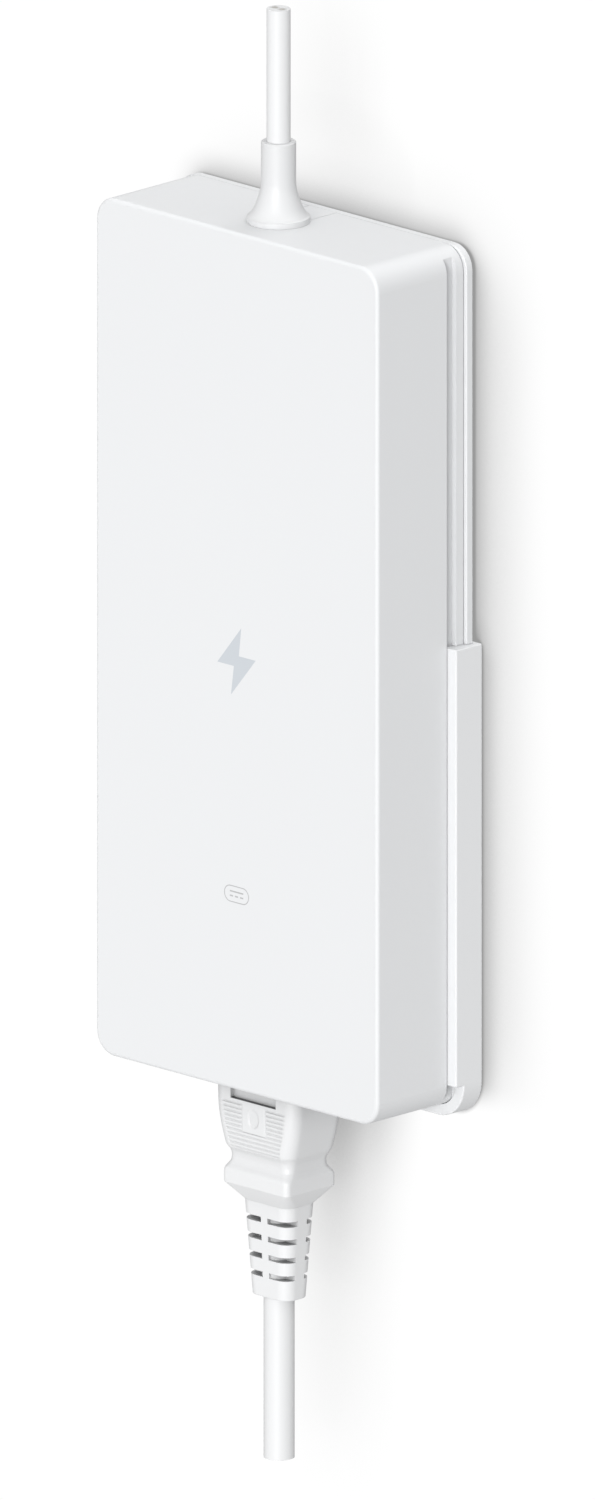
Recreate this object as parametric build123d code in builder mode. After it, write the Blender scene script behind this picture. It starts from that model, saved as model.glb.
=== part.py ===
from build123d import *

import os

os.makedirs("parts", exist_ok=True)

# Wall-hung power supply in its slide-in wall bracket. Millimetres, +Z up, +X right, +Y into the wall.
# The origin lies on the wall plane at the centre of the bracket's screw pattern.

# ---------------------------------------------------------------- driving dimensions: case
case_width = 97.2
case_height = 217.5
corner_radius = 6.0
front_edge_radius = 0.9
case_wall = 2.4
root = 0.5
shell_depth = 29.6
seam_gap = 0.2
rim_thickness = 2.1
rim_overhang = 0.95
rim_front_radius = 0.3
rim_back_radius = 0.15
groove_front_setback = 24.0
groove_width = 3.1
groove_depth = 1.4
rail_wall = 3.4
rail_length = 7.6
tongue_depth = 2.4
tongue_wall = 1.2
fit_gap = 0.15

# ---------------------------------------------------------------- driving dimensions: bracket
bracket_height = 120.0
plate_thickness = 1.0
plate_gap = 0.1
bracket_wall = 2.85
side_gap = 0.15
undercut_gap = 1.15
undercut_front = -3.4
flange_front = -6.2
lip_front = -8.8
lip_reach = 1.25
lip_start = 6.2
bracket_edge_radius = 0.35
detent_height = 108.3
detent_radius = 4.0
detent_depth = 0.7
screw_spacing_x = 60.0
screw_spacing_z = 80.0
wall_hole_radius = 2.25

# ---------------------------------------------------------------- driving dimensions: screw-head channels
channel_width = 11.0
channel_depth = 2.3
channel_top = 104.0
channel_floor = 1.5

# ---------------------------------------------------------------- driving dimensions: fasteners
case_screw_x = 39.5
case_screw_inset = 9.0
boss_radius = 3.8
cover_boss_radius = 4.2
cover_boss_depth = 4.8
counterbore_radius = 3.1
counterbore_depth = 3.4
screw_radius = 1.45
screw_hole_radius = 1.5
screw_clear_radius = 1.7
screw_head_radius = 2.7
screw_slot_length = 3.0
screw_slot_width = 0.7
case_screw_head = 2.0
case_screw_length = 12.0
case_screw_bore = 11.0
board_screw_head = 1.5
board_screw_length = 8.0
boss_gap = 0.1
boss_rib_width = 1.4
boss_rib_setback = 3.0
board_post_x = 38.5
board_post_low = 36.0
board_post_high = 193.0
board_post_radius = 3.2

# ---------------------------------------------------------------- driving dimensions: cables and connectors
lead_radius = 2.95
lead_reach = 54.0
lead_core_radius = 1.2
lead_wire_radius = 0.75
lead_core_spread = 2.4
lead_core_drop = 11.0
wire_gap = 0.05
lead_setback = 14.5
boot_neck_radius = 4.6
boot_flange_radius = 7.8
boot_tube_radius = 4.3
boot_height = 20.45
boot_flare_low = (7.3, 1.7)
boot_flare_middle = (5.25, 5.6)
boot_flare_top = 10.0
boot_edge = 0.3
boot_inner_flange_radius = 6.5
boot_inner_flange = 1.5
lead_inner_length = 8.0
cord_radius = 3.8
cord_reach = 95.8
cord_core_radius = 1.15
cord_wire_radius = 0.65
inlet_setback = 14.7
inlet_body = (28.2, 20.4)
inlet_flange = (33.0, 23.4)
inlet_flange_thickness = 1.5
inlet_opening_gap = 0.2
inlet_back = 20.5
inlet_cavity = 17.0
pin_tip = 3.0
pin_tail = 3.5
inlet_wire_radius = 1.1
inlet_wire_landing = 31.0
nose_width = 23.6
nose_depth = 15.8
nose_length = 16.2
nose_chamfer = 4.4
cavity_gap = 0.3
pin_spacing = 14.0
pin_offset = 2.0
pin_width = 4.0
pin_thickness = 2.0
sliding_gap = 0.05
press_gap = 0.02
plug_top_gap = 0.5

# ---------------------------------------------------------------- driving dimensions: board
board_thickness = 1.6
board_half_width = 43.5
board_bottom = 26.0
board_top = 202.0
spreader_thickness = 1.0
spreader_gap = 0.5
spreader_levels = (30.0, 199.0)
spreader_post_gap = 0.6
sheet_half_width = 43.0
sheet_thickness = 0.4
sheet_levels = (24.0, 203.0)
sheet_gap = 0.05

# ---------------------------------------------------------------- levels worked out from the above
half_width = case_width / 2
cover_back = -plate_thickness - plate_gap
rim_front = cover_back - rim_thickness
shell_back = rim_front - seam_gap
front_face = shell_back - shell_depth
case_bottom = -bracket_height / 2 + bracket_wall + side_gap
case_top = case_bottom + case_height
cavity_front = front_face + case_wall
groove_front = front_face + groove_front_setback
lead_y = front_face + lead_setback
inlet_y = front_face + inlet_setback
board_face = groove_front + 0.2
board_back = board_face + board_thickness
spreader_back = cavity_front + spreader_gap + spreader_thickness
case_screw_levels = (case_screw_inset, case_height - case_screw_inset)
board_post_levels = (board_post_low, board_post_high)
pin_places = (
    (-pin_spacing / 2, inlet_y + pin_offset),
    (0.0, inlet_y - pin_offset),
    (pin_spacing / 2, inlet_y + pin_offset),
)


def up(height):
    """Z of a height above the case's underside."""
    return case_bottom + height


def facing_front(y):
    """Plane at depth y whose normal points to the front, with local x = X and local y = Z."""
    return Plane.XZ.offset(-y)


def block(x, y, z, mode=Mode.ADD):
    """Box from three (low, high) pairs, with z counted from the case's underside."""
    centre = (sum(x) / 2, sum(y) / 2, up(sum(z) / 2))
    with Locations(centre):
        Box(x[1] - x[0], y[1] - y[0], z[1] - z[0], mode=mode)


def case_outline(grow):
    """Front outline of the case, grown all round by an amount."""
    with Locations((0, up(case_height / 2))):
        RectangleRounded(case_width + 2 * grow, case_height + 2 * grow, corner_radius + grow)


def bracket_outline(grow):
    """Case outline grown by an amount, with its sides running up past the bracket's open top."""
    case_outline(grow)
    with Locations((0, case_top)):
        Rectangle(case_width + 2 * grow, case_height)


def rod(radius, length, x, y, z):
    """Cylinder along Y from depth y towards the front, with z counted from the case's underside."""
    with BuildSketch(facing_front(y)) as profile:
        with Locations((x, up(z))):
            Circle(radius)
    extrude(profile.sketch, amount=length)


def pan_screw(x, z, head_y, head_height, length):
    """Pan-head screw whose head rests at depth head_y and whose shank points to the front."""
    with BuildSketch(facing_front(head_y + head_height)) as head:
        with Locations((x, up(z))):
            Circle(screw_head_radius)
    extrude(head.sketch, amount=head_height)
    rod(screw_radius, length, x, head_y, z)
    slot_y = (head_y + head_height * 0.4, head_y + head_height)
    half_long, half_short = screw_slot_length / 2, screw_slot_width / 2
    for half_x, half_z in ((half_long, half_short), (half_short, half_long)):
        block((x - half_x, x + half_x), slot_y, (z - half_z, z + half_z), mode=Mode.SUBTRACT)


def legs(places, board_y, tip_y, radius=0.4):
    """Round component legs from inside a component down through the board."""
    for x, z in places:
        rod(radius, board_y - tip_y, x, board_y, z)


def near(value, target):
    """Whether two lengths agree to a hundredth of a millimetre."""
    return abs(value - target) < 0.01


def on_bracket_side(edge):
    """Whether an edge lies on the bracket's outer side wall, corner or underside."""
    outline_x = half_width + bracket_wall + side_gap
    point = edge.center()
    return not near(point.Z, bracket_height / 2) and (abs(point.X) > outline_x - 3 or point.Z < up(-2.9))


# ================================================================ wall bracket
# A back plate with a U-shaped flange wall: the case rim runs in its undercut and its two lips
# run in the case's side grooves. It is open at the top, where the case slides in.
with BuildPart() as wall_bracket:
    with BuildSketch(facing_front(0)):
        bracket_outline(bracket_wall + side_gap)
        with Locations((0, bracket_height / 2 + case_height)):
            Rectangle(2 * case_width, 2 * case_height, mode=Mode.SUBTRACT)
    extrude(amount=-flange_front)
    with BuildSketch(facing_front(flange_front)):
        lip_inner = half_width - lip_reach
        lip_outer = half_width + bracket_wall + side_gap
        lip_middle_z = (up(lip_start) + bracket_height / 2) / 2
        for side in (-1, 1):
            with Locations((side * (lip_inner + lip_outer) / 2, lip_middle_z)):
                Rectangle(lip_outer - lip_inner, bracket_height / 2 - up(lip_start))
    extrude(amount=flange_front - lip_front)
    front_faces = wall_bracket.faces().filter_by(Axis.Y)
    lip_faces = front_faces.filter_by(lambda face: near(face.center().Y, lip_front))
    step_faces = front_faces.filter_by(lambda face: near(face.center().Y, flange_front))
    lip_edges = lip_faces.edges().filter_by(lambda edge: edge.center().Z > up(lip_start) + 1)
    step_edges = step_faces.edges().filter_by(lambda edge: edge.center().Z < up(lip_start))
    fillet((lip_edges + step_edges).filter_by(on_bracket_side), bracket_edge_radius)
    top_edges = wall_bracket.edges().filter_by(lambda edge: near(edge.center().Z, bracket_height / 2))
    fillet(top_edges.filter_by(lambda edge: abs(edge.center().X) > half_width + 0.5), bracket_edge_radius)
    with BuildSketch(facing_front(-plate_thickness)):
        bracket_outline(undercut_gap)
    extrude(amount=-undercut_front - plate_thickness, mode=Mode.SUBTRACT)
    with BuildSketch(facing_front(undercut_front)):
        bracket_outline(side_gap)
    extrude(amount=undercut_front - flange_front, mode=Mode.SUBTRACT)
    # Round detent scallops in the lips' inner edges.
    with BuildSketch(facing_front(flange_front)):
        for side in (-1, 1):
            scallop_x = half_width - lip_reach - detent_radius + detent_depth
            with Locations((side * scallop_x, up(detent_height))):
                Circle(detent_radius)
    extrude(amount=flange_front - lip_front, mode=Mode.SUBTRACT)
    with BuildSketch(facing_front(0)):
        with GridLocations(screw_spacing_x, screw_spacing_z, 2, 2):
            Circle(wall_hole_radius)
    extrude(amount=plate_thickness, mode=Mode.SUBTRACT)

# ================================================================ front shell
# A deep tub, open at the back, with side grooves for the bracket's lips.
with BuildPart() as front_shell:
    with BuildSketch(facing_front(shell_back)):
        case_outline(0)
    extrude(amount=shell_depth)
    fillet(front_shell.faces().sort_by(Axis.Y)[0].edges(), front_edge_radius)
    with BuildSketch(facing_front(shell_back)):
        rail_cavity = (case_width - 2 * rail_wall, case_height - 2 * case_wall)
        with Locations((0, up(case_height / 2))):
            RectangleRounded(*rail_cavity, corner_radius - case_wall)
    extrude(amount=rail_length, mode=Mode.SUBTRACT)
    with BuildSketch(facing_front(shell_back - rail_length)):
        case_outline(-case_wall)
    extrude(amount=shell_depth - rail_length - case_wall, mode=Mode.SUBTRACT)
    for side in (-1, 1):
        groove_x = sorted((side * (half_width - groove_depth), side * (half_width + 2)))
        groove_y = (groove_front, groove_front + groove_width)
        block(groove_x, groove_y, (-1, case_height + 1), mode=Mode.SUBTRACT)
    # Screw bosses at the corners and posts that carry the board.
    boss_back = rim_front - cover_boss_depth - boss_gap
    for side in (-1, 1):
        for level in case_screw_levels:
            rod(boss_radius, boss_back - cavity_front + root, side * case_screw_x, boss_back, level)
            rib_x = sorted((side * case_screw_x, side * (half_width - case_wall / 2)))
            rib_z = (level - boss_rib_width / 2, level + boss_rib_width / 2)
            block(rib_x, (cavity_front - root, boss_back - boss_rib_setback), rib_z)
        for level in board_post_levels:
            rod(board_post_radius, board_face - cavity_front + root, side * board_post_x, board_face, level)
    with BuildSketch(facing_front(boss_back)):
        for level in case_screw_levels:
            with Locations((-case_screw_x, up(level)), (case_screw_x, up(level))):
                Circle(screw_hole_radius)
    extrude(amount=case_screw_bore, mode=Mode.SUBTRACT)
    with BuildSketch(facing_front(board_face)):
        for level in board_post_levels:
            with Locations((-board_post_x, up(level)), (board_post_x, up(level))):
                Circle(screw_hole_radius)
    extrude(amount=board_screw_length, mode=Mode.SUBTRACT)
    # Slot for the lead's boot, open at the back, and the opening for the mains inlet.
    slot_radius = boot_neck_radius + fit_gap
    with BuildSketch(Plane.XY.offset(case_top - case_wall - 1)):
        with Locations((0, lead_y)):
            Circle(slot_radius)
        with Locations((0, (lead_y + rim_front) / 2)):
            Rectangle(2 * slot_radius, rim_front - lead_y)
    extrude(amount=case_wall + 2, mode=Mode.SUBTRACT)
    with BuildSketch(Plane.XY.offset(case_bottom - 1)):
        with Locations((0, inlet_y)):
            Rectangle(inlet_body[0] + 2 * inlet_opening_gap, inlet_body[1] + 2 * inlet_opening_gap)
    extrude(amount=case_wall + 2, mode=Mode.SUBTRACT)

# ================================================================ rear cover
# A plate flush with the shell at its ends and proud of it at its sides, with a locating tongue, four
# screw bosses, two blind channels that clear the wall screws' heads, and a tab that closes the boot's slot.
with BuildPart() as rear_cover:
    with BuildSketch(facing_front(cover_back)):
        with Locations((0, up(case_height / 2))):
            RectangleRounded(case_width + 2 * rim_overhang, case_height, corner_radius)
    extrude(amount=rim_thickness)
    fillet(rear_cover.faces().sort_by(Axis.Y)[0].edges(), rim_front_radius)
    fillet(rear_cover.faces().sort_by(Axis.Y)[-1].edges(), rim_back_radius)
    tongue_width = case_width - 2 * rail_wall - 2 * fit_gap
    tongue_height = case_height - 2 * case_wall - 2 * fit_gap
    with BuildSketch(facing_front(rim_front)):
        with Locations((0, up(case_height / 2))):
            RectangleRounded(tongue_width, tongue_height, corner_radius - case_wall - fit_gap)
            Rectangle(tongue_width - 2 * tongue_wall, tongue_height - 2 * tongue_wall, mode=Mode.SUBTRACT)
    extrude(amount=tongue_depth)
    for side in (-1, 1):
        for level in case_screw_levels:
            rod(cover_boss_radius, cover_boss_depth, side * case_screw_x, rim_front, level)
        rib_half = channel_width / 2 + channel_floor
        rib_x = (side * screw_spacing_x / 2 - rib_half, side * screw_spacing_x / 2 + rib_half)
        rib_y = (cover_back - channel_depth - channel_floor, rim_front)
        block(rib_x, rib_y, (case_wall + fit_gap, channel_top + channel_floor))
    # Tab that fills the boot's slot, hollowed to sit round the boot's neck.
    with BuildSketch(Plane.XY.offset(case_top - case_wall)):
        with Locations((0, (lead_y + rim_front) / 2)):
            Rectangle(2 * boot_neck_radius, rim_front - lead_y)
        with Locations((0, lead_y)):
            Circle(slot_radius, mode=Mode.SUBTRACT)
    extrude(amount=case_wall)
    # Channels for the wall screws' heads, open through the rim at the bottom.
    with BuildSketch(facing_front(cover_back)):
        for side in (-1, 1):
            with Locations((side * screw_spacing_x / 2, up((channel_top - channel_width / 2) / 2))):
                Rectangle(channel_width, channel_top - channel_width / 2 + 2)
            with Locations((side * screw_spacing_x / 2, up(channel_top - channel_width / 2))):
                Circle(channel_width / 2)
    extrude(amount=channel_depth, mode=Mode.SUBTRACT)
    # Counterbored holes for the case screws.
    with BuildSketch(facing_front(cover_back)):
        for level in case_screw_levels:
            with Locations((-case_screw_x, up(level)), (case_screw_x, up(level))):
                Circle(counterbore_radius)
    extrude(amount=counterbore_depth, mode=Mode.SUBTRACT)
    with BuildSketch(facing_front(cover_back)):
        for level in case_screw_levels:
            with Locations((-case_screw_x, up(level)), (case_screw_x, up(level))):
                Circle(screw_clear_radius)
    extrude(amount=rim_thickness + cover_boss_depth + 1, mode=Mode.SUBTRACT)

# ================================================================ fasteners
with BuildPart() as case_screws:
    for side in (-1, 1):
        for level in case_screw_levels:
            head_y = cover_back - counterbore_depth
            pan_screw(side * case_screw_x, level, head_y, case_screw_head, case_screw_length)

with BuildPart() as board_screws:
    for side in (-1, 1):
        for level in board_post_levels:
            pan_screw(side * board_post_x, level, board_back, board_screw_head, board_screw_length)

# ================================================================ output lead and its boot
# The boot's flare is one smooth curve; its neck is trapped in the shell's slot between two flanges.
boot_bore = lead_radius + sliding_gap
boot_profile = (
    boot_flare_low,
    (boot_flange_radius, boot_flare_low[1] - boot_edge),
    (boot_flange_radius, 0),
    (boot_neck_radius, 0),
    (boot_neck_radius, -case_wall - fit_gap),
    (boot_inner_flange_radius, -case_wall - fit_gap),
    (boot_inner_flange_radius, -case_wall - fit_gap - boot_inner_flange),
    (boot_bore, -case_wall - fit_gap - boot_inner_flange),
    (boot_bore, boot_height),
    (boot_tube_radius - boot_edge, boot_height),
    (boot_tube_radius, boot_height - boot_edge),
    (boot_tube_radius, boot_flare_top),
)
with BuildPart() as output_boot:
    with BuildSketch(Plane(origin=(0, lead_y, case_top), x_dir=(0, 1, 0), z_dir=(1, 0, 0))):
        with BuildLine():
            Polyline(*boot_profile)
            Spline(boot_profile[-1], boot_flare_middle, boot_flare_low, tangents=((0, -1), (1, -1)))
        make_face()
    revolve(axis=Axis((0, lead_y, 0), (0, 0, 1)))

lead_end = case_height + lead_reach
lead_inner_end = case_height - lead_inner_length
lead_core_places = (-lead_core_radius - 0.05, lead_core_radius + 0.05)
with BuildPart() as output_lead_jacket:
    with BuildSketch(Plane.XY.offset(up(lead_inner_end))):
        with Locations((0, lead_y)):
            Circle(lead_radius)
        with Locations(*[(x, lead_y) for x in lead_core_places]):
            Circle(lead_core_radius + press_gap, mode=Mode.SUBTRACT)
    extrude(amount=lead_end - lead_inner_end)


def lead_path(x):
    """Run of one output core: down through the jacket, then round to the board's face."""
    bend_top = (x, lead_y, up(lead_inner_end - 1))
    landing = (x * lead_core_spread, board_face - wire_gap, up(lead_inner_end - lead_core_drop))
    with BuildLine() as path:
        Line((x, lead_y, up(lead_end)), bend_top)
        Spline(bend_top, landing, tangents=((0, 0, -1), (0, 1, 0)))
    return path


def tube_along(path, start, outer, inner, direction):
    """Round tube swept along a path from its start; an inner radius of 0 leaves it solid."""
    with BuildSketch(Plane(origin=start, z_dir=direction)) as ring:
        Circle(outer)
        if inner:
            Circle(inner, mode=Mode.SUBTRACT)
    sweep(ring.sketch, path=path.wires()[0])


with BuildPart() as output_lead_cores:
    for core_x in lead_core_places:
        core_start = (core_x, lead_y, up(lead_end))
        core_bore = lead_wire_radius + press_gap
        tube_along(lead_path(core_x), core_start, lead_core_radius, core_bore, (0, 0, -1))

with BuildPart() as output_lead_conductors:
    for core_x in lead_core_places:
        core_start = (core_x, lead_y, up(lead_end))
        tube_along(lead_path(core_x), core_start, lead_wire_radius, 0, (0, 0, -1))


# ================================================================ mains inlet
def keyed_rectangle(grow):
    """Outline of the appliance connector's nose, its two front corners cut off, grown all round."""
    half_w = nose_width / 2 + grow
    half_d = nose_depth / 2 + grow
    cut = nose_chamfer
    with BuildLine() as outline:
        Polyline(
            (-half_w + cut, inlet_y - half_d),
            (half_w - cut, inlet_y - half_d),
            (half_w, inlet_y - half_d + cut),
            (half_w, inlet_y + half_d),
            (-half_w, inlet_y + half_d),
            (-half_w, inlet_y - half_d + cut),
            close=True,
        )
    make_face(outline.edges())


def inlet_block(size, low, high, mode=Mode.ADD):
    """Block centred on the inlet's axis, between two heights above the case's underside."""
    half_w, half_d = size[0] / 2, size[1] / 2
    block((-half_w, half_w), (inlet_y - half_d, inlet_y + half_d), (low, high), mode=mode)


with BuildPart() as inlet_housing:
    flange_low = case_wall + boss_gap
    inlet_block(inlet_body, 0, inlet_back)
    inlet_block(inlet_flange, flange_low, flange_low + inlet_flange_thickness)
    with BuildSketch(Plane.XY.offset(case_bottom)):
        keyed_rectangle(cavity_gap)
    extrude(amount=inlet_cavity, mode=Mode.SUBTRACT)
    with BuildSketch(Plane.XY.offset(up(inlet_cavity))):
        with Locations(*pin_places):
            Rectangle(pin_thickness + 2 * press_gap, pin_width + 2 * press_gap)
    extrude(amount=inlet_back - inlet_cavity, mode=Mode.SUBTRACT)

with BuildPart() as inlet_pins:
    with BuildSketch(Plane.XY.offset(up(pin_tip))):
        with Locations(*pin_places):
            Rectangle(pin_thickness, pin_width)
    extrude(amount=inlet_back + pin_tail - pin_tip)
    chamfer(inlet_pins.faces().sort_by(Axis.Z)[:3].edges(), pin_thickness / 4)

with BuildPart() as inlet_wires:
    for pin_x, pin_y in pin_places:
        wire_start = (pin_x, pin_y, up(inlet_back + pin_tail + wire_gap))
        wire_end = (pin_x, board_face - wire_gap, up(inlet_wire_landing))
        with BuildLine() as wire_path:
            Spline(wire_start, wire_end, tangents=((0, 0, 1), (0, 1, 0)))
        tube_along(wire_path, wire_start, inlet_wire_radius, 0, (0, 0, 1))

# ================================================================ board and sheets
with BuildPart() as main_board:
    block((-board_half_width, board_half_width), (board_face, board_back), (board_bottom, board_top))
    with BuildSketch(facing_front(board_back)):
        for level in board_post_levels:
            with Locations((-board_post_x, up(level)), (board_post_x, up(level))):
                Circle(screw_clear_radius)
    extrude(amount=board_thickness, mode=Mode.SUBTRACT)

with BuildPart() as insulation_sheet:
    sheet_back = cover_back - channel_depth - channel_floor - sheet_gap
    block((-sheet_half_width, sheet_half_width), (sheet_back - sheet_thickness, sheet_back), sheet_levels)

with BuildPart() as heat_spreader:
    spreader_y = (cavity_front + spreader_gap, spreader_back)
    block((-sheet_half_width, sheet_half_width), spreader_y, spreader_levels)
    with BuildSketch(facing_front(spreader_back)):
        for level in board_post_levels:
            with Locations((-board_post_x, up(level)), (board_post_x, up(level))):
                Circle(board_post_radius + spreader_post_gap)
    extrude(amount=spreader_thickness, mode=Mode.SUBTRACT)

# ================================================================ primary side
fuse_start = -32.0
fuse_z = 31.0
fuse_length = 20.0
fuse_cap_length = 5.0
fuse_radius = 2.4
fuse_cap_radius = 2.7
with BuildPart() as fuse:
    fuse_y = board_face - 4.0
    cap_starts = (fuse_start, fuse_start + fuse_length - fuse_cap_length)
    with BuildSketch(Plane.YZ.offset(fuse_start)):
        with Locations((fuse_y, up(fuse_z))):
            Circle(fuse_radius)
    extrude(amount=fuse_length)
    for cap_start in cap_starts:
        with BuildSketch(Plane.YZ.offset(cap_start)):
            with Locations((fuse_y, up(fuse_z))):
                Circle(fuse_cap_radius)
        extrude(amount=fuse_cap_length)
    legs([(cap_start + fuse_cap_length / 2, fuse_z) for cap_start in cap_starts], board_face, fuse_y)


disc_standoff = 1.5
disc_leg_offset = 3.2


def disc_component(x, z, radius, thickness):
    """Coated disc standing on the board on two legs, its faces up and down."""
    centre_y = board_face - radius - disc_standoff
    with BuildSketch(Plane.XY.offset(up(z) - thickness / 2)) as disc:
        with Locations((x, centre_y)):
            Circle(radius)
    extrude(disc.sketch, amount=thickness)
    legs([(x - disc_leg_offset, z), (x + disc_leg_offset, z)], board_face, centre_y)


with BuildPart() as surge_varistor:
    disc_component(-24, 43, 7, 4.5)
    fillet(surge_varistor.edges().filter_by(GeomType.CIRCLE).filter_by(lambda e: e.radius > 6), 1.2)

with BuildPart() as inrush_thermistor:
    disc_component(-24, 53, 7, 5)
    fillet(inrush_thermistor.edges().filter_by(GeomType.CIRCLE).filter_by(lambda e: e.radius > 6), 1.2)

with BuildPart() as y_capacitors:
    disc_component(-7, 41, 4.5, 3.5)
    disc_component(-7, 50, 4.5, 3.5)
    fillet(y_capacitors.edges().filter_by(GeomType.CIRCLE).filter_by(lambda e: e.radius > 4), 1.0)

with BuildPart() as x_capacitor:
    block((11, 33), (board_face - 17.5, board_face - 0.5), (28, 39))
    chamfer(x_capacitor.edges(), 0.6)
    legs([(14, 33.5), (30, 33.5)], board_face, board_face - 3)

choke_x = 17.0
choke_z = 60.0
choke_mid = board_face - 7.5
choke_outer = 12.5
choke_inner = 7.5
choke_thickness = 9.0
winding_build = 1.5
winding_gap = 0.1
winding_separation = 7.0
with BuildPart() as common_mode_choke_core:
    with BuildSketch(facing_front(choke_mid + choke_thickness / 2)):
        with Locations((choke_x, up(choke_z))):
            Circle(choke_outer)
            Circle(choke_inner, mode=Mode.SUBTRACT)
    extrude(amount=choke_thickness)
    fillet(common_mode_choke_core.edges().filter_by(GeomType.CIRCLE), 0.8)

with BuildPart() as common_mode_choke_windings:
    with BuildSketch(facing_front(choke_mid + choke_thickness / 2 + winding_build)):
        with Locations((choke_x, up(choke_z))):
            Circle(choke_outer + winding_build)
            Circle(choke_inner - winding_build, mode=Mode.SUBTRACT)
            Rectangle(3 * choke_outer, winding_separation, mode=Mode.SUBTRACT)
    extrude(amount=choke_thickness + 2 * winding_build)
    with BuildSketch(facing_front(choke_mid + choke_thickness / 2 + winding_gap)):
        with Locations((choke_x, up(choke_z))):
            Circle(choke_outer + winding_gap)
            Circle(choke_inner - winding_gap, mode=Mode.SUBTRACT)
    extrude(amount=choke_thickness + 2 * winding_gap, mode=Mode.SUBTRACT)

bridge_z = (66.0, 69.5)
with BuildPart() as bridge_rectifier:
    block((-36, -13), (board_face - 18, board_face - 2), bridge_z)
    chamfer(bridge_rectifier.edges().filter_by(Axis.Z), 1.5)
    legs([(leg_x, sum(bridge_z) / 2) for leg_x in (-33, -27.5, -21.5, -16)], board_face, board_face - 4, 0.6)

bulk_radius = 9.0
bulk_length = 38.0
with BuildPart() as bulk_capacitors:
    with BuildSketch(Plane.XY.offset(up(89))):
        with Locations(*[(can_x, board_face - bulk_radius - fit_gap) for can_x in (12.5, 32.0)]):
            Circle(bulk_radius)
    extrude(amount=bulk_length)
    fillet(bulk_capacitors.edges().filter_by(GeomType.CIRCLE), 1.0)


def wound_core(x, z, width, length, height, leg):
    """Ferrite core of a wound part: two end yokes joined by a round centre leg and two outer legs."""
    low = board_face - height
    high = board_face - 1.0
    side_y = (low, high)
    block((x - width / 2, x + width / 2), side_y, (z - length / 2, z - length / 2 + leg))
    block((x - width / 2, x + width / 2), side_y, (z + length / 2 - leg, z + length / 2))
    block((x - width / 2, x - width / 2 + leg), side_y, (z - length / 2, z + length / 2))
    block((x + width / 2 - leg, x + width / 2), side_y, (z - length / 2, z + length / 2))
    with BuildSketch(Plane.XY.offset(up(z - length / 2))) as centre_leg:
        with Locations((x, (low + high) / 2)):
            Circle(leg)
    extrude(centre_leg.sketch, amount=length)


def round_coil(x, z, height, length, outer, inner):
    """Coil round a core's centre leg, its axis along Z."""
    with BuildSketch(Plane.XY.offset(up(z - length / 2))) as coil:
        with Locations((x, board_face - (height + 1.0) / 2)):
            Circle(outer)
            Circle(inner, mode=Mode.SUBTRACT)
    extrude(coil.sketch, amount=length)


pfc_x = -14.0
pfc_z = 106.0
pfc_height = 17.5
pfc_leg = 4.0
pfc_leg_places = [(pfc_x - 11, pfc_z - 12), (pfc_x + 11, pfc_z - 12), (pfc_x, pfc_z + 14)]
with BuildPart() as pfc_choke_core:
    wound_core(pfc_x, pfc_z, 30, 32, pfc_height, pfc_leg)
    legs(pfc_leg_places, board_face, board_face - 3)

with BuildPart() as pfc_choke_winding:
    round_coil(pfc_x, pfc_z, pfc_height, 23, 2 * pfc_leg, pfc_leg + winding_gap)

transformer_x = -2.0
transformer_z = 148.0
transformer_height = 19.0
transformer_leg = 5.0
bobbin_radius = 6.2
bobbin_flange_radius = 9.0
bobbin_flange_offset = 13.0
with BuildPart() as transformer_core:
    wound_core(transformer_x, transformer_z, 38, 38, transformer_height, transformer_leg)

with BuildPart() as transformer_bobbin:
    bobbin_bore = transformer_leg + winding_gap
    flange_bore = bobbin_radius - 0.1
    round_coil(transformer_x, transformer_z, transformer_height, 27.6, bobbin_radius, bobbin_bore)
    for side in (-1, 1):
        flange_z = transformer_z + side * bobbin_flange_offset
        round_coil(transformer_x, flange_z, transformer_height, 1.2, bobbin_flange_radius, flange_bore)

with BuildPart() as transformer_windings:
    round_coil(transformer_x, transformer_z, transformer_height, 24.6, 8.9, bobbin_radius + sheet_gap)


package_width = 10.0
package_thickness = 4.5
package_leg_pitch = 2.5


def power_package(x, z, normal):
    """Flat power package with three legs, lying against a heatsink on its +X or +Z side."""
    package_y = (board_face - 18, board_face - 4)
    leg_steps = (-package_leg_pitch, 0, package_leg_pitch)
    if normal == "x":
        block((x, x + package_thickness), package_y, (z - package_width / 2, z + package_width / 2))
        legs([(x + package_thickness / 2, z + step) for step in leg_steps], board_face, board_face - 5)
    else:
        block((x - package_width / 2, x + package_width / 2), package_y, (z, z + package_thickness))
        legs([(x + step, z + package_thickness / 2) for step in leg_steps], board_face, board_face - 5)


heatsink_height = 18.5
fin_thickness = 1.5
primary_sink_x = (-41.0, -39.0)
with BuildPart() as primary_heatsink:
    block(primary_sink_x, (board_face - heatsink_height, board_face), (84, 168))
    for fin_z in range(88, 168, 8):
        fin_y = (board_face - heatsink_height, board_face - 4)
        block((primary_sink_x[0] - 2, primary_sink_x[0]), fin_y, (fin_z, fin_z + fin_thickness))

with BuildPart() as primary_switches:
    for package_z in (94, 112, 132, 150):
        power_package(primary_sink_x[1], package_z, "x")

with BuildPart() as controller_board:
    block((35, 36.2), (board_face - 16, board_face - 0.2), (134, 166))
    for chip_z in (140, 150, 159):
        block((33.4, 35), (board_face - 11, board_face - 6), (chip_z - 3, chip_z + 3))
    block((33.0, 38.2), (board_face - 2.5, board_face - 0.2), (138, 162))

with BuildPart() as optocouplers:
    for coupler_z in (138, 148, 158):
        block((22, 28.5), (board_face - 3.8, board_face - 0.3), (coupler_z - 2.3, coupler_z + 2.3))
        feet = [(foot_x, coupler_z + step) for foot_x in (22.6, 27.9) for step in (-1.2, 1.2)]
        legs(feet, board_face, board_face - 1)

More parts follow.
